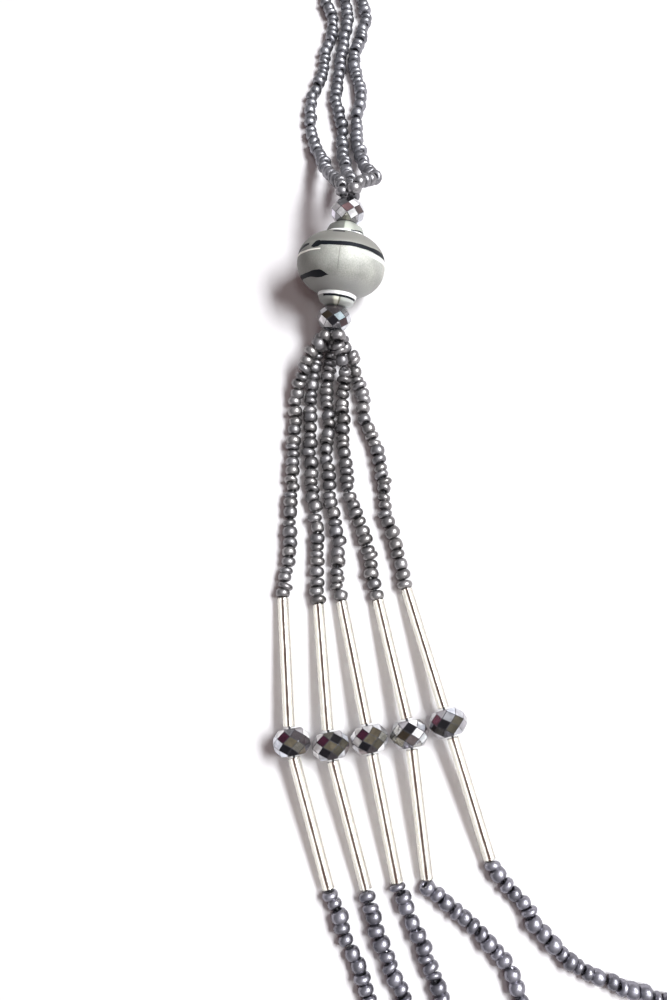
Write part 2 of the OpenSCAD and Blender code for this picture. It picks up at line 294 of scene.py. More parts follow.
def crystalCentre(i):
    w = crystalSize["width"] / 2
    z = rest["crystal"] + (w * math.cos(halfFacet) if columns[i]["roll"] == 0 else w)
    return Vector((*columns[i]["at"], z))


def crystalTurn(i):
    return (columns[i]["above"][0] + columns[i]["below"][0]) / 2


def bugleOf(i, way):  # way is -1 above the crystal and 1 below it
    return columns[i]["above" if way < 0 else "below"]


def bugleEnds(i, way):
    centre, (heading, longer) = crystalCentre(i), bugleOf(i, way)
    near = centre + way * (crystalSize["length"] / 2 + bugleSize["gap"]) * turned(crystalTurn(i))
    length = bugleSize["length"] + longer
    slope = math.degrees(math.asin((centre.z - rest["string"]) / length))
    return near, near + way * length * turned(heading, way * slope)


def lying(points):  # gives a height to those that have none
    return [(*point, rest["string"])[:3] for point in points]


def fromMainBead(end, way, i):  # where a string runs into the end crystal
    radius, a = stringEnds[end + "R"], math.radians(stringEnds[end + "Angles"][i])
    return [beadAt + way * (stringEnds["reach"] + run) * beadAlong
            + radius * math.cos(a) * beadAcross + radius * math.sin(a) * beadUp
            for run in (0, stringEnds["mainRun"])]


def fromBugle(i, way):  # where a string runs into a bugle
    end, heading = bugleEnds(i, way)[1], turned(bugleOf(i, way)[0])
    return [end + way * (stringEnds["gap"] + run) * heading for run in (0, stringEnds["bugleRun"])]


def neckRoute(i):
    r, arc = neckArc["radii"][i], neckArc
    last = 90 + math.degrees(math.asin((claspSize["length"] / 2 + stringEnds["gap"]) / r))
    angles = [math.radians(arc["start"] + (last - arc["start"]) * k / (arc["rings"] - 1))
              for k in range(arc["rings"])]
    back = [(r * math.cos(a), arc["y"] + r * math.sin(a)) for a in angles]
    return fromMainBead("neck", 1, i) + lying(neckRoutes[i] + back)


def fanRoute(i):
    return fromMainBead("front", -1, i) + lying(fanRoutes[i]) + fromBugle(i, -1)[::-1]


def swagRoute(i):
    half = fromBugle(i, 1) + lying(swagRoutes[i])
    return half + [(-x, y, z) for x, y, z in reversed(half[:-1])]


# Camera, soft window light and pale table

camera = {"place": (-0.080, -0.075, 0.175), "tilt": 16, "lens": 28.26, "sensor": 36, "clip": (0.01, 20)}
aim = Vector((-0.075, -0.02, 0))  # the lights face it, and their places are counted from it
lights = {
    "window": {"power": 20, "size": (0.80, 0.30), "place": (0.63, 0.14, 0.97),
               "colour": (0.96, 0.975, 1)},
    "lamp": {"power": 0.85, "size": (0.18, 0.18), "place": (0.10, -0.20, 1.05),
             "colour": (1, 0.99, 0.98)},
    "side panel": {"power": 0.45, "size": (0.40, 0.50), "place": (0.60, 0.02, 0.16),
                   "colour": (1, 1, 0.98)},
}
roomLook = {
    "wallLevel": 0.85,
    "walls": [(0, (0.40, 0.40, 0.43)), (0.35, (0.62, 0.62, 0.65)), (0.6, (0.85, 0.85, 0.86)),
              (1, (1.20, 1.19, 1.17))],  # from left to right
    "heights": [(0, (0.45, 0.44, 0.45)), (0.35, (0.60, 0.59, 0.60)), (0.85, (1, 1, 1))],
    "fillLevel": 0.105, "fillColour": (1.0, 0.60, 0.60),  # the light on matt surfaces
    # What the bugles' lining sees: between two heights, and from left to right, with the levels there
    "glowColour": (1.0, 0.975, 0.935), "glowHeights": (0.25, 0.95, 2.1, 0.45),
    "glowSides": (-0.3, 0.5, 1, 0.55),
}
tableLook = {
    "colour": (0.93, 0.92, 0.93), "shade": 0.985, "roughness": 0.75, "grain": 900,
    "bump": (0.15, 0.0001), "glow": 0.92, "glowShare": 0.6, "halfWidth": 3,
}


def makeCamera():
    lens = bpy.data.cameras.new("camera")
    lens.lens, lens.sensor_width = camera["lens"], camera["sensor"]
    lens.clip_start, lens.clip_end = camera["clip"]
    eye = addObject("camera", lens)
    eye.location = camera["place"]
    eye.rotation_euler = (math.radians(camera["tilt"]), 0, 0)
    bpy.context.scene.camera = eye


def makeLight(name, only=()):  # only lists the pieces that it lights
    values = lights[name]
    light = bpy.data.lights.new(name, "AREA")
    light.shape = "RECTANGLE"
    light.size, light.size_y = values["size"]
    light.energy = values["power"]
    light.color = values["colour"]
    lamp = addObject(name, light)
    lamp.location = aim + Vector(values["place"])
    lamp.rotation_euler = (lamp.location - aim).to_track_quat("Z", "Y").to_euler()
    if only:
        lit = bpy.data.collections.new("lit by the " + name)
        for piece in only:
            lit.objects.link(piece)
        lamp.light_linking.receiver_collection = lit


def makeRoom():  # brighter overhead and to the right
    world = bpy.data.worlds.new("room")
    world.use_nodes = True
    tree = world.node_tree
    tree.nodes.clear()

    def background(colour, level):
        return addNode(tree, "ShaderNodeBackground", {0: colour, 1: level}).outputs[0]

    direction = separate(tree, addNode(tree, "ShaderNodeTexCoord").outputs["Generated"])
    x, z = direction[0], direction[2]
    walls = addMix(tree, 1, addRamp(tree, addRange(tree, x, -1, 1, 0, 1, smooth=False), roomLook["walls"]),
                   addRamp(tree, z, roomLook["heights"]), "MULTIPLY")
    glow = addMath(tree, "MULTIPLY", addRange(tree, z, *roomLook["glowHeights"]),
                   addRange(tree, x, *roomLook["glowSides"]))
    seen = mixShaders(tree, throughGlass(tree), background(walls, roomLook["wallLevel"]),
                      background(roomLook["glowColour"], glow))
    room = mixShaders(tree, lightPath(tree)["Is Diffuse Ray"], seen,
                      background(roomLook["fillColour"], roomLook["fillLevel"]))
    addNode(tree, "ShaderNodeOutputWorld", {0: room})
    bpy.context.scene.world = world


def makeTable():
    look = tableLook
    material, tree = newMaterial("table white", Roughness=look["roughness"])
    grain = addNoise(tree, objectPlace(tree), look["grain"], detail=3)
    shades = [(0.3, dimmed(look["colour"], look["shade"])), (0.7, look["colour"])]
    setShader(tree, Base_Color=addRamp(tree, grain, shades), Normal=addBump(tree, grain, *look["bump"]))
    # Painted light: the table glows where it is seen through glass, so the bugles' lining mirrors a table
    # that their own shadow doesn't darken in full
    glow = addNode(tree, "ShaderNodeEmission", {0: roomLook["glowColour"], 1: look["glow"]}).outputs[0]
    shareSurface(tree, addMath(tree, "MULTIPLY", throughGlass(tree), look["glowShare"]), glow)
    material.cycles.emission_sampling = "NONE"
    h = look["halfWidth"]
    mesh = bpy.data.meshes.new("table")
    mesh.from_pydata([(-h, -h, 0), (h, -h, 0), (h, h, 0), (-h, h, 0)], [], [(0, 1, 2, 3)])
    mesh.materials.append(material)
    table = addObject("table", mesh)


makeCamera()
makeLight("window")
makeLight("lamp")
makeRoom()
makeTable()
bpy.context.scene.view_settings.view_transform = "Standard"
print("camera, light and table ready")


# Thread, and the seed beads strung on it

threadLook = {"colour": (0.035, 0.035, 0.04), "shades": (0.6, 1.7), "twist": 2600, "bump": (0.5, 0.00005)}


def threadMaterial():
    look = threadLook
    material, tree = newMaterial("dark nylon thread", Roughness=0.6)
    plies = addNode(tree, "ShaderNodeTexWave", {"Vector": objectPlace(tree), "Scale": look["twist"],
                                                "Distortion": 1.5, "Detail": 1},
                    bands_direction="DIAGONAL").outputs[1]
    low, high = [dimmed(look["colour"], shade) for shade in look["shades"]]
    setShader(tree, Base_Color=addRamp(tree, plies, [(0.2, low), (0.8, high)]),
              Normal=addBump(tree, plies, *look["bump"]))
    return material


seedLook = {
    "warm": (0.274, 0.262, 0.257), "cool": (0.253, 0.247, 0.257),
    "front": (0.258, 0.252, 0.286), "frontFrom": (-0.06, -0.10),  # metres along Y
    "neck": (0.259, 0.259, 0.280), "neckFrom": (0.03, 0.07),
    # rim is a painted highlight and shade: lighter where a bead faces the eye, darker towards its outline
    "level": (0.78, 1.25), "rim": (1.16, 0.70), "wear": 1400, "wearLevel": (0.90, 1.10),
    "roughness": (0.30, 0.36), "wearRoughness": 0.08, "pits": 3800, "bump": (0.25, 0.00004),
}


def seedMaterial():  # gunmetal plating, a little different on every bead
    look = seedLook
    material, tree = newMaterial("gunmetal plating", Metallic=0.92, Specular_IOR_Level=0.5)
    place = objectPlace(tree)
    y = separate(tree, place)[1]
    tone = attribute(tree, "beadTone")["Fac"]
    shift = addMath(tree, "FRACT", addMath(tree, "MULTIPLY", tone, 7.31))  # a second random value
    wear = addNoise(tree, place, look["wear"], detail=3, Roughness=0.6)
    # Painted highlight and shade: lighter where a bead faces the eye, darker towards its outline
    facing = addNode(tree, "ShaderNodeLayerWeight").outputs["Facing"]
    plating = addMix(tree, shift, look["warm"], look["cool"])
    for part in ("front", "neck"):
        plating = addMix(tree, addRange(tree, y, *look[part + "From"], 0, 1), plating, look[part])
    level = fold(tree, "MULTIPLY", [addRange(tree, tone, 0, 1, *look["level"], smooth=False),
                                    addRange(tree, wear, 0.3, 0.7, *look["wearLevel"]),
                                    addRange(tree, facing, 0.15, 0.75, *look["rim"])])
    setShader(tree, Base_Color=addLevel(tree, plating, level),
              Roughness=addMath(tree, "ADD", addRange(tree, shift, 0, 1, *look["roughness"]),
                                addRange(tree, wear, 0.35, 0.7, 0, look["wearRoughness"])),
              Normal=addBump(tree, addNoise(tree, place, look["pits"], detail=2), *look["bump"]))
    return material


seedBead = {
    "sides": 12, "profile": [(0.36, 0.80), (0.56, 1.0), (0.86, 0.75), (1.0, 0.25)],  # from its hole out
    "curveSteps": 8, "threadSides": 6, "spin": 6.283, "firstSeed": 7, "seedStep": 100,
}
seedString = {
    "Pitch": 2.12 * mm, "Bead Width": 3.3 * mm, "Width Spread": 0.09, "Length Spread": 0.32,
    "Fill": 0.97, "Tilt": 0.5, "Shift": 0.5 * mm, "Thread Width": 0.5 * mm,
}


def makeSeedBead():  # one drilled bead, 2 wide and 2 long, its hole along Z
    outline = seedBead["profile"] + [(r, -z) for r, z in reversed(seedBead["profile"])]
    n, m, points, faces = seedBead["sides"], len(outline), [], []
    for k in range(n):
        a = 2 * math.pi * k / n
        points += [(r * math.cos(a), r * math.sin(a), z) for r, z in outline]
    for k in range(n):
        a, b = k * m, (k + 1) % n * m
        faces += [(a + j, a + (j + 1) % m, b + (j + 1) % m, b + j) for j in range(m)]
    mesh = bpy.data.meshes.new("seed bead")
    mesh.from_pydata(points, [], faces)
    return addObject("seed bead", mesh)


def seedStringTree():
    tree = bpy.data.node_groups.new("seed string", "GeometryNodeTree")
    kinds = dict(Geometry="Geometry", **{name: "Float" for name in seedString},
                 Seed="Int", Bead="Object", Plating="Material", Thread="Material")
    for name, kind in kinds.items():
        tree.interface.new_socket(name, in_out="INPUT", socket_type="NodeSocket" + kind)
    tree.interface.new_socket("Geometry", in_out="OUTPUT", socket_type="NodeSocketGeometry")
    given = addNode(tree, "NodeGroupInput").outputs

    def times(*values):
        return fold(tree, "MULTIPLY", values)

    def vector(x, y, z):
        return addNode(tree, "ShaderNodeCombineXYZ", {0: x, 1: y, 2: z}).outputs[0]

    def randomly(low, high, step):  # every draw has a step of its own
        return addNode(tree, "FunctionNodeRandomValue",
                       {2: low, 3: high, 8: addMath(tree, "ADD", given["Seed"], step)}).outputs[1]

    def mostlySmall(step):  # between -1 and 1, and seldom near either
        return times(randomly(-1, 1, step), randomly(0, 1, step + 1))

    def about(spread, step):  # 1, give or take a share of the spread
        return addMath(tree, "ADD", 1, times(spread, randomly(-1, 1, step)))

    curve = addNode(tree, "GeometryNodeMeshToCurve", {0: given["Geometry"]}).outputs[0]
    curve = addNode(tree, "GeometryNodeCurveSplineType", {0: curve},
                    spline_type="CATMULL_ROM").outputs[0]
    curve = addNode(tree, "GeometryNodeSetSplineResolution",
                    {0: curve, 2: seedBead["curveSteps"]}).outputs[0]
    length = addNode(tree, "GeometryNodeCurveLength", {0: curve}).outputs[0]
    count = addMath(tree, "ROUND", addMath(tree, "DIVIDE", length, given["Pitch"]))
    points = addNode(tree, "GeometryNodePoints", {0: count}).outputs[0]

    # Each bead takes its own share of the string
    share = about(given["Length Spread"], 1)
    summed = addNode(tree, "GeometryNodeAccumulateField", {0: share}).outputs
    middle = addMath(tree, "ADD", summed["Trailing"], times(share, 0.5))
    sample = addNode(tree, "GeometryNodeSampleCurve",
                     {0: curve, "Factor": addMath(tree, "DIVIDE", middle, summed["Total"])},
                     mode="FACTOR", use_all_curves=True).outputs
    beadLength = addMath(tree, "DIVIDE", times(share, length), summed["Total"])
    halfWidth = times(times(given["Bead Width"], about(given["Width Spread"], 2)), 0.5)
    halfLength = times(beadLength, times(given["Fill"], 0.5))

    # Loose on the thread: shifted aside and tilted, but always down on the table
    drop = addMath(tree, "SUBTRACT", halfWidth, times(given["Bead Width"], 0.5))
    offset = vector(*[times(given["Shift"], mostlySmall(step)) for step in (10, 12)], drop)
    points = addNode(tree, "GeometryNodeSetPosition",
                     {0: points, 2: sample["Position"], 3: offset}).outputs[0]
    tipped = vector(*[times(given["Tilt"], mostlySmall(step)) for step in (20, 22)],
                    randomly(0, seedBead["spin"], 24))
    rotation = addNode(tree, "FunctionNodeRotateRotation", {
        0: addNode(tree, "FunctionNodeAlignRotationToVector", {2: sample["Tangent"]},
                   axis="Z").outputs[0],
        1: addNode(tree, "FunctionNodeEulerToRotation", {0: tipped}).outputs[0],
    }, rotation_space="LOCAL").outputs[0]
    bead = addNode(tree, "GeometryNodeObjectInfo", {0: given["Bead"]}).outputs["Geometry"]
    beads = addNode(tree, "GeometryNodeInstanceOnPoints",
                    {0: points, 2: bead, 5: rotation,
                     6: vector(halfWidth, halfWidth, halfLength)}).outputs[0]
    beads = addNode(tree, "GeometryNodeStoreNamedAttribute",
                    {0: beads, 2: "beadTone", 3: randomly(0, 1, 30)},
                    data_type="FLOAT", domain="INSTANCE").outputs[0]
    beads = addNode(tree, "GeometryNodeRealizeInstances", {0: beads}).outputs[0]
    beads = addNode(tree, "GeometryNodeSetMaterial", {0: beads, 2: given["Plating"]}).outputs[0]

    ring = addNode(tree, "GeometryNodeCurvePrimitiveCircle",
                   {0: seedBead["threadSides"], 4: times(given["Thread Width"], 0.5)}).outputs[0]
    core = addNode(tree, "GeometryNodeCurveToMesh", {0: curve, 1: ring, 3: True}).outputs[0]
    core = addNode(tree, "GeometryNodeSetMaterial", {0: core, 2: given["Thread"]}).outputs[0]

    both = addNode(tree, "GeometryNodeJoinGeometry")
    tree.links.new(core, both.inputs[0])
    tree.links.new(beads, both.inputs[0])
    smooth = addNode(tree, "GeometryNodeSetShadeSmooth", {0: both.outputs[0]}).outputs[0]
    addNode(tree, "NodeGroupOutput", {0: smooth})
    return tree


def stringSeeds(node, route, tree, values):
    host = bpy.data.meshes.new(node + "_route")
    steps = [(k, k + 1) for k in range(len(route) - 1)]
    host.from_pydata([Vector(point) * mm for point in route], steps, [])
    guide = addObject(node + "_route", host)
    modifier = guide.modifiers.new("beads", "NODES")
    modifier.node_group = tree
    for item in tree.interface.items_tree:
        if item.in_out == "INPUT" and item.name in values:
            modifier[item.identifier] = values[item.name]
    graph = bpy.context.evaluated_depsgraph_get()
    mesh = bpy.data.meshes.new_from_object(guide.evaluated_get(graph), depsgraph=graph)
    mesh.name = node + "_beads"
    guide.modifiers.clear()
    bpy.data.objects.remove(guide)
    newPiece(node + "_beads", mesh, node, smooth=True)


def makeSeedStrings():
    tree, bead, plating, thread = seedStringTree(), makeSeedBead(), seedMaterial(), threadMaterial()
    jobs = [(f"swag_string_{i + 1}", swagRoute(i)) for i in range(len(swagRoutes))]
    for side in sides:
        for name, routes, routeOf in (("neck", neckRoutes, neckRoute), ("fan", fanRoutes, fanRoute)):
            jobs += [(f"{name}_string_{side}_{i + 1}", [onSide(point, side) for point in routeOf(i)])
                     for i in range(len(routes))]
    for k, (node, route) in enumerate(jobs):
        seed = seedBead["seedStep"] * k + seedBead["firstSeed"]
        stringSeeds(node, route, tree, dict(seedString, Seed=seed, Bead=bead, Plating=plating,
                                            Thread=thread))
    bpy.data.objects.remove(bead)
    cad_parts["thread"].data.materials.clear()
    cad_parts["thread"].data.materials.append(thread)


makeSeedStrings()
print("seed strings and thread ready")


# Crystals: two mirrored rows of facets round a drilled rondelle

# Painted reflections: each tone stands for what a mirrored facet shows, and edge is a dark painted
# reflection on the eased edges
reflectionTones = {
    "w": (0.95, 0.95, 0.96), "b": (0.72, 0.76, 0.83), "v": (0.70, 0.67, 0.76),
    "s": (0.56, 0.57, 0.60), "z": (0.54, 0.53, 0.47), "p": (0.38, 0.37, 0.39),
    "g": (0.24, 0.24, 0.25), "y": (0.25, 0.24, 0.21), "c": (0.37, 0.45, 0.48),
    "u": (0.19, 0.155, 0.155), "r": (0.31, 0.18, 0.19),
    "d": (0.115, 0.10, 0.107), "o": (0.165, 0.14, 0.095), "h": (0.115, 0.105, 0.078),
    "q": (0.070, 0.050, 0.027), "m": (0.115, 0.024, 0.058), "n": (0.050, 0.028, 0.032),
    "k": (0.018, 0.016, 0.021), "edge": (0.10, 0.10, 0.11),
}
facetMirror = {"w": 0.45, "b": 0.8, "c": 0}  # the others mirror in full
# Painted reflections by eighths of a turn, from the right over the top: the belt, then the two rows of
# each end, front end first. Letters name reflectionTones, the colour that each facet mirrors.
reflectionCharts = {
    1: ("gdobskgs", "dykbsgbs", "hqkbsbks", "wdmbsgsb", "wppwsbgs"),
    2: ("khowbkgs", "uhkwbsgs", "ssdbwsgs", "bkmwbsgk", "spywbskb"),
    3: ("szowngks", "shkpsbgs", "wwdubsgb", "gomwsbgs", "bswwsbkg"),
    4: ("uwqysgks", "buygwsgs", "gsppsbks", "bkssbsgb", "gwpgbsgs"),
    5: ("phkdsbgs", "phkwbgks", "ssgpbsgs", "ssmwbsgb", "sbppsgks"),
    "neck": ("wurwwsbg", "swwvsgbs", "bpygsbks", "swgwsbgs", "wwkgsbgs"),
    "front": ("scqpwsgs", "nkwgsgbg", "spwgsgbs", "gdggsgsb", "gddgsbgb"),
}
crystalLook = {
    "mirror": {"Metallic": 0.72, "Coat_Weight": 0.35, "Specular_IOR_Level": 0.6},
    "haze": 650, "reflectionStreaks": (0.78, 1.2), "roughness": (0.03, 0.08), "easedOver": 0.2,
}


def crystalMaterial():
    look = crystalLook
    material, tree = newMaterial("mirror coated glass", Coat_Roughness=0.02, **look["mirror"])
    # The haze varies the roughness, and the facet colour as painted reflection streaks
    haze = addNoise(tree, objectPlace(tree), look["haze"], detail=3)
    tone = attribute(tree, "facetTone")
    setShader(tree, Base_Color=addLevel(tree, tone["Color"],
                                        addRange(tree, haze, 0.35, 0.65, *look["reflectionStreaks"])),
              Roughness=addRange(tree, haze, 0.3, 0.7, *look["roughness"]),
              **{name: addMath(tree, "MULTIPLY", tone["Alpha"], full)
                 for name, full in look["mirror"].items()})
    return material


def crystalMesh(name, chart, bore, matrix):
    w, half, flat = crystalSize["width"] / 2, crystalSize["length"] / 2, math.cos(halfFacet)
    kiteEnd, crownStart, crownEnd = [crystalSize[part] * w
                                     for part in ("kiteEnd", "crownStart", "crownEnd")]
    belt = w * flat
    bZ = half * (w - belt * flat) / (w - kiteEnd)  # where the belt meets two kites
    aZ = half * (crownStart - w * flat) / ((crownStart - crownEnd) - (w - kiteEnd) * flat)
    aR = w - (w - kiteEnd) * aZ / half
    shape = bmesh.new()
    tones = shape.loops.layers.float_color.new("facetTone")

    def ringOf(r, z, offset, n=facets):
        angles = [2 * math.pi * (k + offset) / n for k in range(n)]
        return [shape.verts.new((r * math.cos(a), r * math.sin(a), z)) for a in angles]

    def paint(face, letter):
        for loop in face.loops:
            loop[tones] = (*reflectionTones[letter], facetMirror.get(letter, 1))

    def facet(corners, letter):
        paint(shape.faces.new(corners), letter)

    beltRing = ringOf(w, 0, 0.5)
    ends = [(ringOf(belt, way * bZ, 0), ringOf(aR, way * aZ, 0.5),
             ringOf(crownEnd / flat, way * half, 0.5), ringOf(bore / 2, way * half, 0.5, 2 * facets))
            for way in (1, -1)]  # 1 is the end away from the neck
    for k in range(facets):
        before, after = (k - 1) % facets, (k + 1) % facets
        facet([beltRing[before], ends[0][0][k], beltRing[k], ends[1][0][k]], chart[0][k])
        for e, (b, a, t, hole) in enumerate(ends):
            facet([beltRing[k], b[after], a[k], b[k]], chart[1 + 2 * e][k])
            facet([b[k], a[k], t[k], t[before], a[before]], chart[2 + 2 * e][k])
            facet([t[before], t[k], hole[2 * k], hole[2 * k - 1]], "s")
            facet([t[k], hole[2 * k + 1], hole[2 * k]], "s")
    for k in range(2 * facets):
        facet([ends[0][3][k - 1], ends[0][3][k], ends[1][3][k], ends[1][3][k - 1]], "g")
    bmesh.ops.recalc_face_normals(shape, faces=shape.faces)
    sharp = [e for e in shape.edges if e.calc_face_angle(0) > crystalLook["easedOver"]]
    eased = bmesh.ops.bevel(shape, geom=sharp, offset=crystalSize["edge"], segments=1, affect="EDGES",
                            profile=0.5, clamp_overlap=True)
    for face in eased["faces"]:
        paint(face, "edge")
    return meshOf(shape, name, matrix)


def makeCrystals():
    material = crystalMaterial()

    def addCrystal(node, chart, bore, matrix):
        mesh = crystalMesh(node, reflectionCharts[chart], bore, matrix)
        newPiece("mirror_" + node, mesh, node, [material])

    for side, flip in sides.items():
        for i, column in enumerate(columns):
            front, up = turned(flip * crystalTurn(i)), Vector((0, 0, 1))
            roll = Matrix.Rotation(halfFacet * column["roll"], 4, "Z")
            matrix = axes(up.cross(front), up, front, onSide(crystalCentre(i), side)) @ roll
            chart = i + 1 if side == "left" else len(columns) - i
            addCrystal(f"crystal_{side}_{i + 1}", chart, crystalSize["bore"], matrix)
        across, up, along, middle = mainAxes(side)
        for end, way, halves in (("neck", 1, 0), ("front", -1, 1)):
            roll = Matrix.Rotation(halfFacet * halves, 4, "Z")
            matrix = axes(across, up, -along, middle + way * crystalSize["endAt"] * along) @ roll
            addCrystal(f"{end}_crystal_{side}", end, crystalSize["endBore"], matrix)


makeCrystals()
print("crystals ready")


# Turned shapes: each point keeps its place in its own frame, for the materials

creaseOver = math.radians(32)


def latheMesh(name, outline, n, matrix, keptName, keptAs=(1, 1, 1), lined=()):
    shape = bmesh.new()
    kept = shape.verts.layers.float_vector.new(keptName)
    rings = []
    for k in range(n):
        a = 2 * math.pi * k / n
        rings.append([shape.verts.new((r * math.sin(a), r * math.cos(a), z)) for r, z in outline])
        for vertex in rings[k]:
            vertex[kept] = [c * s for c, s in zip(vertex.co, keptAs)]
    m = len(outline)
    for k in range(n):
        here, after = rings[k], rings[(k + 1) % n]
        for j in range(m):
            face = shape.faces.new((here[j], here[(j + 1) % m], after[(j + 1) % m], after[j]))
            face.smooth = True
            face.material_index = 1 if j in lined else 0
    bmesh.ops.recalc_face_normals(shape, faces=shape.faces)
    mesh = meshOf(shape, name, matrix)
    mesh.set_sharp_from_angle(angle=creaseOver)
    return mesh


# Bugles: glass tubes with a silvered bore

bugleLook = {
    "glass": (0.99, 0.985, 0.965), "ripples": 160, "bump": (0.15, 0.00012),
    "seeThrough": 0.32, "shadowColour": (1, 0.985, 0.96),
    "lining": (0.955, 0.935, 0.895), "shade": 0.98, "clouds": 350, "roughness": (0.18, 0.22),
    # Painted lines on the lining, on the same side of every tube: a dark painted reflection of what is
    # overhead, and a darker painted shade along the flank where the outline falls. Degrees from the top,
    # half of the width, and colour
    "paintedLines": [(-10, 18, (0.14, 0.080, 0.065)), (70, 10, (0.36, 0.335, 0.31))],
    "paintedLineFades": (0.3, 1.3), "wander": (0.75, 1.25),
}


def lightenShadow(tree):  # some light goes on through the glass, as it does in the real one
    clear = addNode(tree, "ShaderNodeBsdfTransparent", {0: bugleLook["shadowColour"]}).outputs[0]
    shadow = lightPath(tree)["Is Shadow Ray"]
    shareSurface(tree, addMath(tree, "MULTIPLY", shadow, bugleLook["seeThrough"]), clear)


def bugleMaterials():
    look = bugleLook
    glass, tree = newMaterial("clear bugle glass", Base_Color=look["glass"],
                              Roughness=0.02, Transmission_Weight=1.0, IOR=1.5)
    ripples = addNoise(tree, objectPlace(tree), look["ripples"], detail=1)
    setShader(tree, Normal=addBump(tree, ripples, *look["bump"]))
    lightenShadow(tree)
    silver, tree = newMaterial("silver lining", Metallic=0.7)
    clouds = addNoise(tree, objectPlace(tree), look["clouds"], detail=3)
    lining = addRamp(tree, clouds, [(0.35, dimmed(look["lining"], look["shade"])), (0.6, look["lining"])])
    x, up = separate(tree, attribute(tree, "tubePlace")["Vector"])[:2]
    around = degreesAround(tree, x, up)
    wander = addRange(tree, clouds, 0.3, 0.7, *look["wander"])
    # The painted reflection line and the painted shade line on the lining
    for at, half, tone in look["paintedLines"]:
        away = addMath(tree, "ABSOLUTE", addMath(tree, "SUBTRACT", around, at))
        fades = [part * half for part in look["paintedLineFades"]]
        share = addRange(tree, addMath(tree, "DIVIDE", away, wander), *fades, 1, 0)
        lining = addMix(tree, share, lining, tone)
    setShader(tree, Base_Color=lining, Roughness=addRange(tree, clouds, 0.4, 0.7, *look["roughness"]))
    lightenShadow(tree)
    return glass, silver


def makeBugles():
    materials = bugleMaterials()
    r, bore, lip = bugleSize["width"] / 2, bugleSize["bore"] / 2, bugleSize["lip"]
    eased = bugleSize["lipEase"] * lip
    for side in sides:
        for i in range(len(columns)):
            for way, name in ((-1, "upper"), (1, "lower")):
                near, far = [onSide(point, side) for point in bugleEnds(i, way)]
                length, front = (far - near).length, (far - near).normalized()
                outline = [(r, lip), (r, 2 * lip), (r, length - 2 * lip), (r, length - lip),
                           (r - eased, length - eased), (r - lip, length),
                           (bore + lip / 2, length), (bore, length - lip / 2), (bore, length - lip),
                           (bore, lip), (bore, lip / 2), (bore + lip / 2, 0),
                           (r - lip, 0), (r - eased, eased)]
                right = front.cross((0, 0, 1)).normalized()
                matrix = axes(right, front.cross(right), front, near)
                node = f"{name}_bugle_{side}_{i + 1}"
                mesh = latheMesh(node + "_glass", outline, bugleSize["sides"], matrix, "tubePlace",
                                 (-way, -1, 1), lined=(7, 8, 9))  # the bore
                newPiece("glass_" + node, mesh, node, materials, smooth=True)


makeBugles()
print("bugles ready")


# Main beads: satin painted bodies with collars, a black and white stripe and a leaf mark

mainPaint = {
    "body": (0.312, 0.315, 0.285), "shade": (0.250, 0.254, 0.233), "paintedShade": (0.155, 0.152, 0.137),
    "low": (0.370, 0.376, 0.358), "seam": (0.09, 0.09, 0.08), "black": (0.004, 0.005, 0.008),
    "white": (0.80, 0.81, 0.79), "pale": (0.58, 0.60, 0.56), "cream": (0.85, 0.84, 0.76),
    # Painted reflections on the collars, by degrees round the thread: darker to one side, a bright streak
    # near the top, lighter to the other side
    "frontCapReflections": [(-90, (0.33, 0.335, 0.32)), (-12, (0.29, 0.30, 0.275)), (-4, (0.72, 0.72, 0.60)),
                 (8, (0.72, 0.73, 0.64)), (12, (0.13, 0.13, 0.07)), (18, (0.36, 0.375, 0.345)),
                 (90, (0.48, 0.50, 0.48))],
    "neckCapReflections": [(-90, (0.13, 0.135, 0.12)), (-3, (0.12, 0.125, 0.11)), (0, (0.36, 0.38, 0.33)),
                (30, (0.20, 0.21, 0.185)), (90, (0.27, 0.285, 0.26))],
    "flakes": 3.2, "flakeLevel": (0.82, 1.18), "flakeBump": (0.10, 0.00008),
    "clouds": 0.22, "wobble": 0.5, "wobbleBy": 0.25, "paintBump": (0.35, 0.00006),
    "roughness": (0.64, 0.58), "specular": (0.5, 0.1),  # of the other paints and of the black
}
# A mark has a middle and a half width along the thread, the two angles round the thread that it
# shows between, and if need be how softly its edges and ends fade. Where a middle or half width
# changes, it is a list of angle, angle, value at the first, value at the second. Middles in one
# list are added up, and the smallest half width counts.
mainMarks = {
    "black": [
        ([(-10, 15, 1.95, 2.2)], [(35, 60, 0.51, 0.67)], -29, 150),  # stripe
        ([(-42, -33, 1.3, 1.82)], [(-42, -35, 0.08, 0.80), (-31, -24, 0.80, 0.3)], -42, -22),  # blob
        ([(-80, -47, 1.15, 2.05)], [(-60, -46, 0.50, 0.26)], -130, -46),  # dash
        ([(-85, -60, -4.40, -4.62), (-25, -14, 0.04, -0.2)],
         [(-52, -36, 0.40, 0.67), (-28, -13, 0.68, 0.02)], -100, -13),  # leaf
        (5.66, 0.32, -19, 4), (5.66, 0.32, 100, 160),  # beside the rims
        ([(20, 70, 7.22, 7.7)], 0.17, 18, 75), (-8.18, 0.25, -46, 84),
    ],
    "pale": ([(14, 50, 1.2, 0.86)], [(22, 52, 0.08, 0.48)], 16, 150, 0.3, 25),
    "cream": ([(-60, -26, 0.37, 0.53)], [(-70, -28, 0.30, 0.16)], -110, -25),
    "seam": (-0.9, 2.7, -1.3, 0.5, 0.8, 0.6), "seamShare": 0.55,
    "rims": [(6.85, 0.42), (-7.52, 0.38)], "capsFrom": 7.1, "capEdge": 0.04, "edge": 0.06, "fade": 1.5,
    "lowAlong": (-3.8, -6.6, 0, 0.9), "paintedShadeAlong": (1.6, 3.6, 0, 0.95), "paintedShadeAround": (0, -60, 0, 0.6),
}


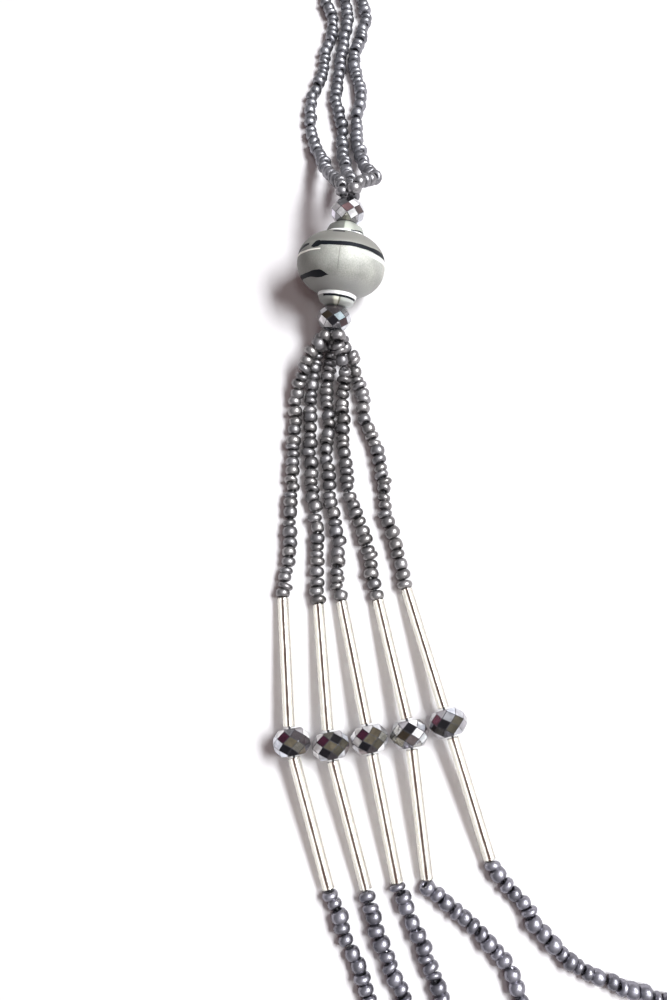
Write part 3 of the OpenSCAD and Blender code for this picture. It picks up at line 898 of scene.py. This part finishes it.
def mainBeadMaterial():
    look, marks = mainPaint, mainMarks
    material, tree = newMaterial("satin silver paint", Metallic=0.35, Specular_IOR_Level=0.5,
                                 Coat_Weight=0.08, Coat_Roughness=0.35)
    local = attribute(tree, "paintPlace")["Vector"]
    flakes = addNoise(tree, local, look["flakes"], detail=4, Roughness=0.75)
    clouds = addNoise(tree, local, look["clouds"], detail=2)
    wobble = addMath(tree, "SUBTRACT", addNoise(tree, local, look["wobble"], detail=2), 0.5)
    x, y, z = separate(tree, local)
    around = degreesAround(tree, x, y)
    z = addMath(tree, "ADD", z, addMath(tree, "MULTIPLY", wobble, look["wobbleBy"]))

    def either(*masks):
        return fold(tree, "MAXIMUM", masks)

    def band(middle, half, edge=marks["edge"]):  # 1 within half of a height along the thread
        away = addMath(tree, "ABSOLUTE", addMath(tree, "SUBTRACT", z, middle))
        reach = addMath(tree, "ADD", half, edge / 2)
        return addMath(tree, "MULTIPLY", addMath(tree, "SUBTRACT", reach, away), 1 / edge, clamp=True)

    def span(low, high, fade):  # 1 between two angles round the thread
        return addMath(tree, "MULTIPLY", addRange(tree, around, low, low + fade, 0, 1),
                       addRange(tree, around, high - fade, high, 1, 0))

    def byAngle(operation, value):
        if not isinstance(value, list):
            return value
        return fold(tree, operation, [addRange(tree, around, *part) for part in value])

    def mark(middle, half, low, high, edge=marks["edge"], fade=marks["fade"]):
        shape = band(byAngle("ADD", middle), byAngle("MINIMUM", half), edge)
        return addMath(tree, "MULTIPLY", shape, span(low, high, fade))

    def past(height, before, after):
        return addRange(tree, z, height - marks["capEdge"], height + marks["capEdge"], before, after)

    def capReflections(stops):
        return addRamp(tree, addRange(tree, around, -90, 90, 0, 1, smooth=False),
                       [((degrees + 90) / 180, tone) for degrees, tone in stops])

    pale, cream = mark(*marks["pale"]), mark(*marks["cream"])
    black = either(*[mark(*values) for values in marks["black"]])
    layers = [
        (addRange(tree, z, *marks["lowAlong"]), look["low"]),
        # Painted shade: darker towards the neck end and round to one side
        (either(addRange(tree, z, *marks["paintedShadeAlong"]), addRange(tree, around, *marks["paintedShadeAround"])),
         look["paintedShade"]),
        (addMath(tree, "MULTIPLY", mark(*marks["seam"]), marks["seamShare"]), look["seam"]),
        (cream, look["cream"]),
        (pale, look["pale"]),
        # Painted reflections on the collars
        (either(past(marks["capsFrom"], 0, 1), past(-marks["capsFrom"], 1, 0)),
         addMix(tree, past(0, 0, 1), capReflections(look["frontCapReflections"]), capReflections(look["neckCapReflections"]))),
        (either(*[band(*values) for values in marks["rims"]]), look["white"]),
        (black, look["black"]),
    ]
    paint = addMix(tree, addRange(tree, clouds, 0.35, 0.65, 0, 1), look["body"], look["shade"])
    paint = addLevel(tree, paint, addRange(tree, flakes, 0.3, 0.7, *look["flakeLevel"]))
    for mask, colour in layers:
        paint = addMix(tree, mask, paint, colour)
    setShader(tree, Base_Color=paint, Roughness=addRange(tree, black, 0, 1, *look["roughness"]),
              Specular_IOR_Level=addRange(tree, black, 0, 1, *look["specular"]),
              Normal=addBump(tree, either(black, pale, cream), *look["paintBump"],
                             Normal=addBump(tree, flakes, *look["flakeBump"])))
    return material


def mainBeadOutline():
    sizes = ("width", "height", "rimWidth", "tipWidth", "bore")
    w, h, rim, tip, bore = [mainBead[size] / 2 for size in sizes]
    steps, power = mainBead["steps"], 2 / mainBead["fullness"]
    rimAngle = math.acos(((rim - mainBead["tuck"]) / w) ** (1 / power))
    body = [(w * math.cos(a) ** power, math.copysign(h * abs(math.sin(a)) ** power, a))
            for a in (rimAngle * (2 * k / steps - 1) for k in range(steps + 1))]
    rimZ, reach = h * math.sin(rimAngle) ** power, mainBead["reach"]
    at = {"rim": rim, "inner": rim - mainBead["shoulderIn"], "tip": tip, "bore": bore,
          "base": rimZ, "lip": rimZ + mainBead["lip"], "shoulder": reach - mainBead["shoulder"],
          "end": reach}
    collar = [(at[out] + farther, at[along] + higher)
              for out, farther, along, higher in mainBead["collar"]]
    return body + collar + [(r, -z) for r, z in reversed(collar)]


def makeMainBeads():
    beads, material, outline = [], mainBeadMaterial(), mainBeadOutline()
    for side in sides:
        spin = Matrix.Rotation(math.radians(mainBead["spin"][side]), 4, "Z")
        # The lathe's third axis runs to the neck, so its second one has to point up
        mesh = latheMesh(f"main_bead_{side}_body", outline, mainBead["sides"],
                         axes(*mainAxes(side)) @ spin, "paintPlace")
        beads.append(newPiece(f"painted_main_bead_{side}", mesh,
                              f"main_bead_{side}", [material], smooth=True))
    return beads


makeLight("side panel", only=makeMainBeads())
print("main beads ready")


# Clasp: a plain brushed block with eased edges

claspLook = {
    "tones": [(0.3, (0.36, 0.36, 0.35)), (0.7, (0.52, 0.52, 0.51))], "brush": (120, 4200, 4200),
    "roughness": (0.26, 0.42), "bump": (0.25, 0.00004), "cornerSteps": 8, "easedOver": 1,
}


def claspMaterial():
    look = claspLook
    material, tree = newMaterial("brushed clasp metal", Metallic=1.0)
    lines = addNode(tree, "ShaderNodeMapping", {0: objectPlace(tree), 3: look["brush"]}).outputs[0]
    brush = addNoise(tree, lines, 1, detail=4)
    setShader(tree, Base_Color=addRamp(tree, brush, look["tones"]),
              Roughness=addRange(tree, brush, 0.3, 0.7, *look["roughness"]),
              Normal=addBump(tree, brush, *look["bump"]))
    return material


def makeClasp():
    corner, steps = claspSize["corner"], claspLook["cornerSteps"]
    inX, inY = claspSize["length"] / 2 - corner, claspSize["width"] / 2 - corner
    centreY = neckArc["y"] + neckArc["radii"][1]
    shape = bmesh.new()
    outline = []
    for cx, cy, start in ((1, 1, 0), (-1, 1, 90), (-1, -1, 180), (1, -1, 270)):
        for k in range(steps + 1):
            a = math.radians(start + 90 * k / steps)
            outline.append((cx * inX + corner * math.cos(a), cy * inY + corner * math.sin(a)))
    base = shape.faces.new([shape.verts.new((x, centreY + y, 0)) for x, y in outline])
    raised = bmesh.ops.extrude_face_region(shape, geom=[base])
    for item in raised["geom"]:
        if isinstance(item, bmesh.types.BMVert):
            item.co.z += claspSize["thickness"]
    bmesh.ops.recalc_face_normals(shape, faces=shape.faces)
    rims = [e for e in shape.edges if e.calc_face_angle(0) > claspLook["easedOver"]]
    bmesh.ops.bevel(shape, geom=rims, offset=claspSize["edge"], segments=4, affect="EDGES", profile=0.5)
    mesh = meshOf(shape, "clasp_body", Matrix())
    newPiece("brushed_clasp", mesh, "clasp", [claspMaterial()], smooth=True)


makeClasp()
print("clasp ready")
